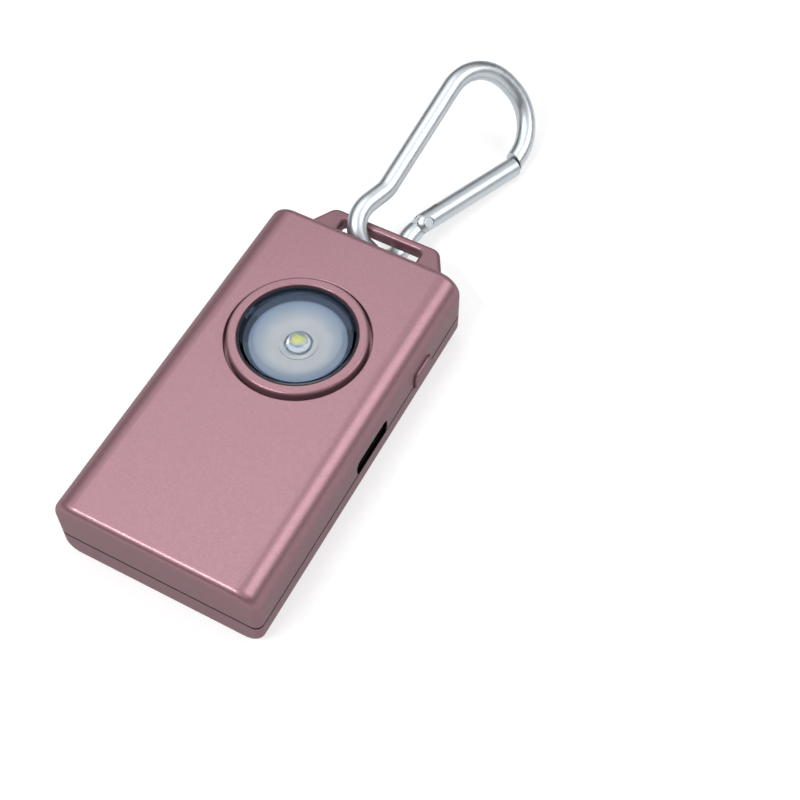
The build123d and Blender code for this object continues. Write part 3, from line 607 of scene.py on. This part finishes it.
class ALARM_OT_bezel(Operator):
    """Painted ring round the lens"""

    bl_idname = "alarm.bezel"
    bl_label = "Bezel"

    def execute(self, context):
        ring = satin_paint("Rose Bezel Paint", context.scene.alarm_case, 0.98)
        # Painted shade: the bezel's ledge and sleeve under the lens are painted near black, standing in
        # for the shade beneath the lens.
        lens_radius = (LENS_HIGH.x - LENS_LOW.x) / 2
        blur = 0.0002
        shade_under_lens = ring.spread(ring.away_from(TORCH_CENTRE), lens_radius, lens_radius + blur, 1, 0)
        ring.cover(shade_under_lens, (0.004, 0.005, 0.008))
        ring.on("lens_bezel")
        return {"FINISHED"}


class ALARM_OT_lens(Operator):
    """Clear torch lens and the dark seal round it"""

    bl_idname = "alarm.lens"
    bl_label = "Lens and Seal"

    def execute(self, context):
        torch = context.scene.alarm_torch
        clear = Finish("Clear Lens")
        clear.named("IOR", 1.4).named("Transmission Weight", 1.0)
        clear.named("Specular Tint", (0.4, 0.55, 0.85, 1))
        cloud = clear.noise(0.003, 3.0)
        clear.colour(clear.blend_colours(cloud, tint(torch.lens_tint, 0.98), tint(torch.lens_tint, 1.02)))
        clear.mottle(clear.noise(0.002, 4.0), 0.0, 0.02)
        clear.on("torch_lens")
        seal = moulded_plastic("Seal Rubber", (0.012, 0.013, 0.018), 0.4, 0.0002)
        seal.named("Specular IOR Level", 0.2)
        seal.on("lens_seal")
        return {"FINISHED"}


class ALARM_OT_reflector(Operator):
    """Bright moulded bowl under the lens"""

    bl_idname = "alarm.reflector"
    bl_label = "Reflector"

    def execute(self, context):
        torch = context.scene.alarm_torch
        bowl = Finish("Reflector Plate")
        bowl.named("Specular IOR Level", 0.3)
        milky = bowl.blend_colours(bowl.noise(0.0035, 2.0), tint(torch.bowl, 0.88), tint(torch.bowl, 1.1))
        # Painted shade: the milky bowl fades to the darker edge colour towards its mouth, and the dark
        # band at the mouth, a printed border deepened as painted shade, is shifted off centre towards the
        # lit side.
        away = bowl.away_from(TORCH_CENTRE + Vector(torch.rim_shade_shift))
        radius, blur = torch.rim_radius, 0.0001
        fade = bowl.spread(away, radius * 0.6, radius * 0.97, 0, 1)
        shaded_bowl = bowl.blend_colours(fade, milky, torch.bowl_edge_shade)
        outer = bowl.spread(away, radius - blur, radius + blur, 0, 1)
        bowl.colour(bowl.blend_colours(outer, shaded_bowl, torch.rim))
        bowl.mottle(bowl.noise(0.0006), 0.3, 0.42)
        bowl.bump(bowl.noise(0.0005), 0.000005, 0.03)
        bowl.on("reflector")
        return {"FINISHED"}


class ALARM_OT_led(Operator):
    """Light chip with its yellow phosphor under a clear bead"""

    bl_idname = "alarm.led"
    bl_label = "Light Chip"

    def execute(self, context):
        torch = context.scene.alarm_torch
        moulded_plastic("Chip Housing", (0.62, 0.64, 0.63), 0.4, 0.0002).on("led_package")
        glowing = Finish("Phosphor")
        grains = glowing.cells(0.0004)
        pale, deep = tint(torch.phosphor, 1.15), tint(torch.phosphor, 0.9)
        glowing.colour(glowing.blend_colours(grains, deep, pale))
        glowing.set(roughness=0.6)
        glowing.bump(glowing.noise(0.0002), 0.00002, 0.3)
        glowing.on("led_phosphor")
        bead = Finish("Clear Bead")
        bead.named("IOR", 1.45).named("Transmission Weight", 1.0)
        bead.shader.inputs["Base Color"].default_value = (0.96, 0.97, 0.97, 1)
        bead.mottle(bead.noise(0.0005, 3.0), 0.0, 0.04)
        profile = self.dome(torch.dome_height)
        piece(
            "led_bead", lambda shape: turned_profile(shape, profile, LED_CENTRE), bead, "case",
        )
        return {"FINISHED"}

    def dome(self, height):
        """Half an oval over the chip's housing, from its rim to its top."""
        steps = 12
        share, gap = 0.97, 0.00002
        radius = (LED_HIGH.x - LED_LOW.x) / 2 * share
        base = LED_HIGH.z + gap
        profile = [(0, base), (radius, base)]
        for i in range(1, steps):
            angle = pi / 2 * i / steps
            profile.append((radius * cos(angle), base + height * sin(angle)))
        profile.append((0, base + height))
        return profile


class ALARM_OT_socket(Operator):
    """Charging socket: drawn sleeve, black tongue and its gilt contacts"""

    bl_idname = "alarm.socket"
    bl_label = "Charging Socket"

    def execute(self, context):
        inside = context.scene.alarm_inside
        across = (12, 1, 1)
        sleeve = drawn_metal("Blackened Sleeve", (0.035, 0.035, 0.038), 0.4, 0.0001, across)
        sleeve.on("charge_socket_shell")
        moulded_plastic("Tongue Plastic", (0.012, 0.012, 0.013), 0.45, 0.0002).on("charge_socket_tongue")
        gilt = drawn_metal("Gilt", (0.75, 0.55, 0.25), 0.3, 0.0001, across)
        contacts = piece(
            "socket_contacts", lambda shape: self.pads(shape, inside), gilt, "case",
        )
        soften(contacts, 0.00003)
        return {"FINISHED"}

    def pads(self, shape, inside):
        """Contacts in a row on both faces of the tongue."""
        tip_gap = 0.0005
        half_tongue = 0.00035
        thickness = 0.00008
        x = TONGUE_HIGH.x - tip_gap - inside.pad_length / 2
        size = Matrix.Diagonal((inside.pad_length, inside.pad_width, thickness, 1))
        for side in (-1, 1):
            for i in range(inside.pads):
                y = TONGUE_CENTRE.y + (i - (inside.pads - 1) / 2) * inside.pad_pitch
                place = Matrix.Translation((x, y, TONGUE_CENTRE.z + side * half_tongue))
                bmesh.ops.create_cube(shape, size=1.0, matrix=place @ size)


class ALARM_OT_button(Operator):
    """Side button in the case's colour, a little darker"""

    bl_idname = "alarm.button"
    bl_label = "Side Button"

    def execute(self, context):
        satin_paint("Rose Button Paint", context.scene.alarm_case, 0.9).on("side_button")
        moulded_plastic("Switch Body", (0.03, 0.03, 0.03), 0.5).on("tact_switch", "pull_switch_base")
        moulded_plastic("Plunger", (0.2, 0.2, 0.2), 0.45).on("switch_plunger")
        return {"FINISHED"}


class ALARM_OT_pull_key(Operator):
    """Painted grip of the pull key and its black tongue"""

    bl_idname = "alarm.pull_key"
    bl_label = "Pull Key"

    def execute(self, context):
        # Painted shade: the grip uses the case's paint darkened to 0.74 of its colour, standing in for the
        # darker light on the key's head and in its slot.
        satin_paint("Rose Grip Paint With Painted Shade", context.scene.alarm_case, 0.74).on("pull_key_head")
        moulded_plastic("Key Plastic", (0.02, 0.02, 0.022), 0.5).on("pull_key_tongue")
        return {"FINISHED"}


class ALARM_OT_snap_hook(Operator):
    """Polished snap hook with its gate, rivet and spring"""

    bl_idname = "alarm.snap_hook"
    bl_label = "Snap Hook"

    def execute(self, context):
        hook = context.scene.alarm_hook
        line, along = 0.0002, (1, 0.15, 1)
        wire = drawn_metal("Polished Wire", hook.metal, hook.roughness, line, along)
        wire.on("snap_hook_frame")
        gate = drawn_metal("Polished Gate", tint(hook.metal, 0.98), hook.roughness + 0.02, line, along)
        gate.on("snap_hook_gate")
        drawn_metal("Rivet Steel", tint(hook.metal, 1.1), 0.5, line, (1, 1, 1)).on("gate_rivet")
        drawn_metal("Spring Steel", (0.4, 0.4, 0.4), 0.3, 0.0001).on("gate_spring")
        return {"FINISHED"}


class ALARM_OT_boards(Operator):
    """Circuit boards with their chips, coil and capacitors"""

    bl_idname = "alarm.boards"
    bl_label = "Boards"

    def execute(self, context):
        inside = context.scene.alarm_inside
        mask = Finish("Solder Mask")
        tracks = mask.spread(mask.cells(0.0022, "DISTANCE_TO_EDGE"), 0.02, 0.06, 1, 0)
        mask.colour(mask.blend_colours(tracks, inside.board, tint(inside.board, 2.2)))
        mask.mottle(mask.noise(0.001), 0.25, 0.4)
        mask.bump(tracks, 0.00003, 0.4)
        mask.on("main_board")
        moulded_plastic("White Mask", (0.5, 0.52, 0.53), 0.35, 0.0003).on("led_board")
        chip = moulded_plastic("Chip Black", (0.015, 0.015, 0.016), 0.55, 0.0002)
        chip.on("controller_chip", "charger_chip")
        moulded_plastic("Ferrite", (0.05, 0.05, 0.055), 0.6, 0.0003).on("siren_coil")
        moulded_plastic("Fired Tan", (0.30, 0.18, 0.09), 0.35, 0.0002).on("board_capacitors")
        return {"FINISHED"}


class ALARM_OT_contacts(Operator):
    """Brass contacts and the pin of the pull switch"""

    bl_idname = "alarm.contacts"
    bl_label = "Pull Switch Contacts"

    def execute(self, context):
        drawn_metal("Contact Brass", (0.72, 0.50, 0.22), 0.32).on("contact_lever", "fixed_contact")
        drawn_metal("Pin Steel", (0.45, 0.45, 0.46), 0.3).on("lever_pin")
        return {"FINISHED"}


class ALARM_OT_siren(Operator):
    """Siren disc, its ceramic, foam ring and dust mesh"""

    bl_idname = "alarm.siren"
    bl_label = "Siren"

    def execute(self, context):
        drawn_metal("Rolled Brass", (0.70, 0.47, 0.18), 0.35).on("siren_disc")
        moulded_plastic("Fired Ceramic", (0.7, 0.66, 0.56), 0.4, 0.0003).on("siren_ceramic")
        foam = Finish("Foam")
        bubbles = foam.cells(0.0006)
        foam.colour(foam.blend_colours(bubbles, (0.015, 0.015, 0.016), (0.05, 0.05, 0.052)))
        foam.set(roughness=0.95)
        foam.bump(bubbles, 0.0001, 0.6)
        foam.on("siren_foam", "battery_pad")
        weave = Finish("Woven Mesh")
        pitch = 0.0008
        threads = weave.wave(pitch, "X")
        across = weave.wave(pitch, "Y")
        crossing = weave.nodes.new("ShaderNodeMath")
        crossing.operation = "MAXIMUM"
        weave.links.new(threads, crossing.inputs[0])
        weave.links.new(across, crossing.inputs[1])
        weave.colour(weave.blend_colours(crossing.outputs[0], (0.004, 0.004, 0.004), (0.05, 0.05, 0.052)))
        weave.set(roughness=0.8)
        weave.bump(crossing.outputs[0], 0.00005, 0.8)
        weave.on("dust_mesh")
        return {"FINISHED"}


class ALARM_OT_battery(Operator):
    """Foil cell and the insulated leads"""

    bl_idname = "alarm.battery"
    bl_label = "Battery and Leads"

    def execute(self, context):
        foil = drawn_metal("Foil", (0.55, 0.56, 0.58), 0.38, 0.0003, (1, 6, 1))
        foil.bump(foil.noise(0.004, 2.0), 0.0001, 0.3)
        foil.on("battery")
        sleeve = moulded_plastic("Lead Red", (0.35, 0.02, 0.02), 0.4, 0.0002)
        sleeve.on("led_leads", "battery_leads", "siren_leads")
        return {"FINISHED"}


class ALARM_PT_parts(Panel):
    """Lists the alarm's pieces"""

    bl_label = "Alarm"
    bl_idname = "ALARM_PT_parts"
    bl_space_type = "VIEW_3D"
    bl_region_type = "UI"
    bl_category = "Alarm"

    def draw(self, context):
        for group in SETTINGS:
            box = self.layout.box()
            for key in SETTINGS[group].__annotations__:
                box.prop(getattr(context.scene, group), key)
        for operator in OPERATORS:
            self.layout.operator(operator.bl_idname)


SETTINGS = {
    "alarm_case": CaseSettings,
    "alarm_torch": TorchSettings,
    "alarm_hook": HookSettings,
    "alarm_inside": InsideSettings,
    "alarm_stage": StageSettings,
}
OPERATORS = (
    ALARM_OT_stage,
    ALARM_OT_case,
    ALARM_OT_screws,
    ALARM_OT_bezel,
    ALARM_OT_lens,
    ALARM_OT_reflector,
    ALARM_OT_led,
    ALARM_OT_socket,
    ALARM_OT_button,
    ALARM_OT_pull_key,
    ALARM_OT_snap_hook,
    ALARM_OT_boards,
    ALARM_OT_contacts,
    ALARM_OT_siren,
    ALARM_OT_battery,
)


def register():
    for group in SETTINGS.values():
        bpy.utils.register_class(group)
    for name, group in SETTINGS.items():
        setattr(bpy.types.Scene, name, PointerProperty(type=group))
    for operator in OPERATORS:
        bpy.utils.register_class(operator)
    bpy.utils.register_class(ALARM_PT_parts)


def unregister():
    bpy.utils.unregister_class(ALARM_PT_parts)
    for operator in reversed(OPERATORS):
        bpy.utils.unregister_class(operator)
    for name, group in SETTINGS.items():
        delattr(bpy.types.Scene, name)
        bpy.utils.unregister_class(group)


def main():
    register()
    bpy.ops.alarm.stage()
    bpy.ops.alarm.case()
    bpy.ops.alarm.screws()
    bpy.ops.alarm.bezel()
    bpy.ops.alarm.lens()
    bpy.ops.alarm.reflector()
    bpy.ops.alarm.led()
    bpy.ops.alarm.socket()
    bpy.ops.alarm.button()
    bpy.ops.alarm.pull_key()
    bpy.ops.alarm.snap_hook()
    bpy.ops.alarm.boards()
    bpy.ops.alarm.contacts()
    bpy.ops.alarm.siren()
    bpy.ops.alarm.battery()


if __name__ == "__main__":
    main()
